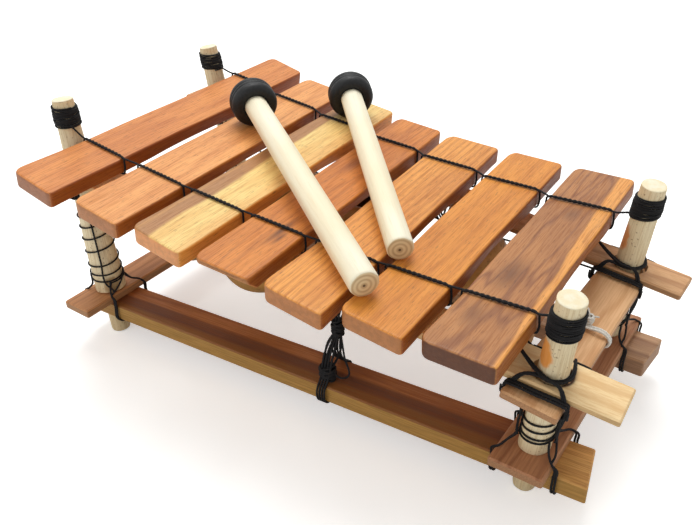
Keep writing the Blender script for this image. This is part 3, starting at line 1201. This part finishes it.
def tie_strands():
    """Two turns round the plank, a lump of small loops on top of it and three loose ends."""
    plank = boards["upper_right_plank"]
    section = section_round(half_at(plank, TIE_PLACE), plank["low"], TIE_RADIUS + 0.0002, 0.001, False)
    strands = []
    for k in (-1, 1):
        s = TIE_PLACE + 1.05 * k * TIE_RADIUS
        strands.append(([on_board(plank, s + 0.0006 * math.sin(40 * u), plank["shift"] + u, z)
                         for u, z in section], TIE_RADIUS, True))
    knot = on_board(plank, TIE_PLACE + 0.004, plank["shift"] - 0.0015, 0.0042)
    strands += [(loop, TIE_RADIUS * 0.8, True) for loop in tangle(knot, 0.0028, plank["along"], 0.0030, 6, 0.5)]
    for along, across, rise in TIE_ENDS:
        end = knot + along * plank["along"] + across * plank["across"] + np.array([0.0, 0.0, rise])
        strands.append(([knot, (knot + end) / 2 + np.array([0.0, 0.0, 0.0012]), end], TIE_RADIUS * 0.6, False))
    return strands


made = tied("cotton_tie", tie_strands(), "stand", "white_tie", finish_of("white_cotton", cotton))

# Two mallets lie across the bars. Each is a peeled pale stick, thicker at the grip, pushed
# through a head cut from black rubber like a small tyre.
MALLETS = [  # the grip's end, the stick's direction, its length and the grip's radius
    ((0.07995, -0.10793, 0.14562), (-0.8024, 0.5875, 0.1051), 0.2443, 0.0090),
    ((0.07794, -0.06562, 0.14516), (-0.6544, 0.7508, 0.0897), 0.2205, 0.0085),
]
MALLET_NECK = 0.0087
MALLET_TIP = 0.003
STICK_EASE = 0.0018
STICK_SIDES = 48
HEAD_RADIUS = 0.0175
HEAD_WIDTH = 0.019
HEAD_SHOULDER = 0.0055
HEAD_BEVEL = 0.0012
HEAD_GROOVES = (0.0078, 0.0112)
GROOVE_DEPTH = 0.0007
GROOVE_WIDTH = 0.0006
HEAD_SIDES = 72


def stick_rings(length, grip, seed):
    """Radius from grip to neck, less shallow whittled flats |cos(4 a)|, with both ends eased."""
    height = np.concatenate([
        [0.0, 0.0002, 0.0008], np.linspace(0.002, length - 0.002, 70),
        [length - 0.0008, length - 0.0002, length]])
    waist = grip * 0.4 + MALLET_NECK * 0.6
    radius = np.interp(height, [0.0, length * 0.5, length], [grip, waist, MALLET_NECK])
    ease = np.clip(np.minimum(height, length - height) / STICK_EASE, 0, 1)
    radius = radius - 0.0015 * (1 - np.sqrt(np.clip(1 - (1 - ease) ** 2, 0, 1)))
    a, h = around(STICK_SIDES, height)
    flats = 0.02 * np.abs(np.cos(4 * a + seed)) ** 2
    return lathed(radius[:, None] * (1 - flats - 0.012 * np.abs(np.sin(2 * a + 26 * h + seed))), a, h)


def creamy(tree, shader):
    """Peeled pale stick: cream with faint long fibres, and growth rings round a dark pith on its ends."""
    where = place_of(tree)
    figure = branch_grain(tree, where, 150.0, 3.0)
    tone = wash(tree, (0.92, 0.82, 0.58), (0.96, 0.91, 0.72), figure["Blotch"], 0.3, 0.7)
    tone = wash(tree, tone, (0.80, 0.64, 0.38), figure["Fibre"], 0.55, 0.75, 0.0, 0.55)
    far = far_from(tree, where, (0.0006, -0.0004, 0.0), (1.0, 1.0, 0.0))
    wave = maths(tree, "PINGPONG", maths(tree, "MULTIPLY", far, 720.0), 1.0)
    cut = wash(tree, (0.82, 0.68, 0.42), (0.62, 0.47, 0.26), wave, 0.2, 0.9)
    cut = wash(tree, cut, (0.05, 0.02, 0.01), far, 0.0006, 0.0012, 0.9, 0.0)
    tone = wash(tree, tone, cut, parts(tree, where)["Z"], 0.0002, 0.0006, 1.0, 0.0)
    coat(tree, shader, tone, figure["Fibre"], 0.0003, 0.45, 0.65)


def head_rings(bore):
    """A tyre: from the bore out over a round shoulder, flat tread with two shallow grooves, and back."""
    turn = np.linspace(0, np.pi / 2, 9)
    low = np.stack([HEAD_RADIUS - HEAD_SHOULDER + HEAD_SHOULDER * np.sin(turn),
                    HEAD_SHOULDER - HEAD_SHOULDER * np.cos(turn)], axis=1)
    tread = np.linspace(HEAD_SHOULDER + 0.0002, HEAD_WIDTH - HEAD_SHOULDER - 0.0002, 17)
    groove = sum(GROOVE_DEPTH * np.exp(-((tread - place) / GROOVE_WIDTH) ** 2) for place in HEAD_GROOVES)
    profile = np.vstack([
        [[bore, 0.001], [bore + HEAD_BEVEL, 0.0]], low, np.stack([HEAD_RADIUS - groove, tread], axis=1),
        np.stack([low[::-1, 0], HEAD_WIDTH - low[::-1, 1]], axis=1),
        [[bore + HEAD_BEVEL, HEAD_WIDTH], [bore, HEAD_WIDTH - 0.001], [bore, HEAD_WIDTH / 2]]])
    a, r = around(HEAD_SIDES, profile[:, 0])
    return lathed(r, a, np.broadcast_to(profile[:, 1][:, None], a.shape))


def rubbery(tree, shader):
    """Black rubber with a dull shine, slightly greyer where a fine noise is high."""
    fine = noise(tree, place_of(tree), 620.0, 3.0)
    tone = wash(tree, (0.004, 0.0045, 0.005), (0.012, 0.013, 0.014), fine, 0.35, 0.7)
    shader.inputs["Specular IOR Level"].default_value = 0.32
    coat(tree, shader, tone, fine, 0.0002, 0.42, 0.6)


CREAM = finish_of("peeled_stick", creamy)
RUBBER = finish_of("black_rubber", rubbery)
for order, (grip_end, way, length, grip) in enumerate(MALLETS):
    name = f"mallet_{order + 1}"
    axes = frame_about(np.array(way), (0.0, 0.0, 1.0))
    stick = stick_rings(length, grip, 0.8 * order)
    head = head_rings(MALLET_NECK + 0.0002)
    placed = head + np.array([0.0, 0.0, length - MALLET_TIP - HEAD_WIDTH])
    made = shell(f"{name}_stick", np.array(grip_end) + stick @ axes, stick, CREAM, f"{name}_body", f"{name}_handle")
    made = shell(f"{name}_tyre", np.array(grip_end) + placed @ axes, head, RUBBER, f"{name}_body", f"{name}_head",
                 closed=True)
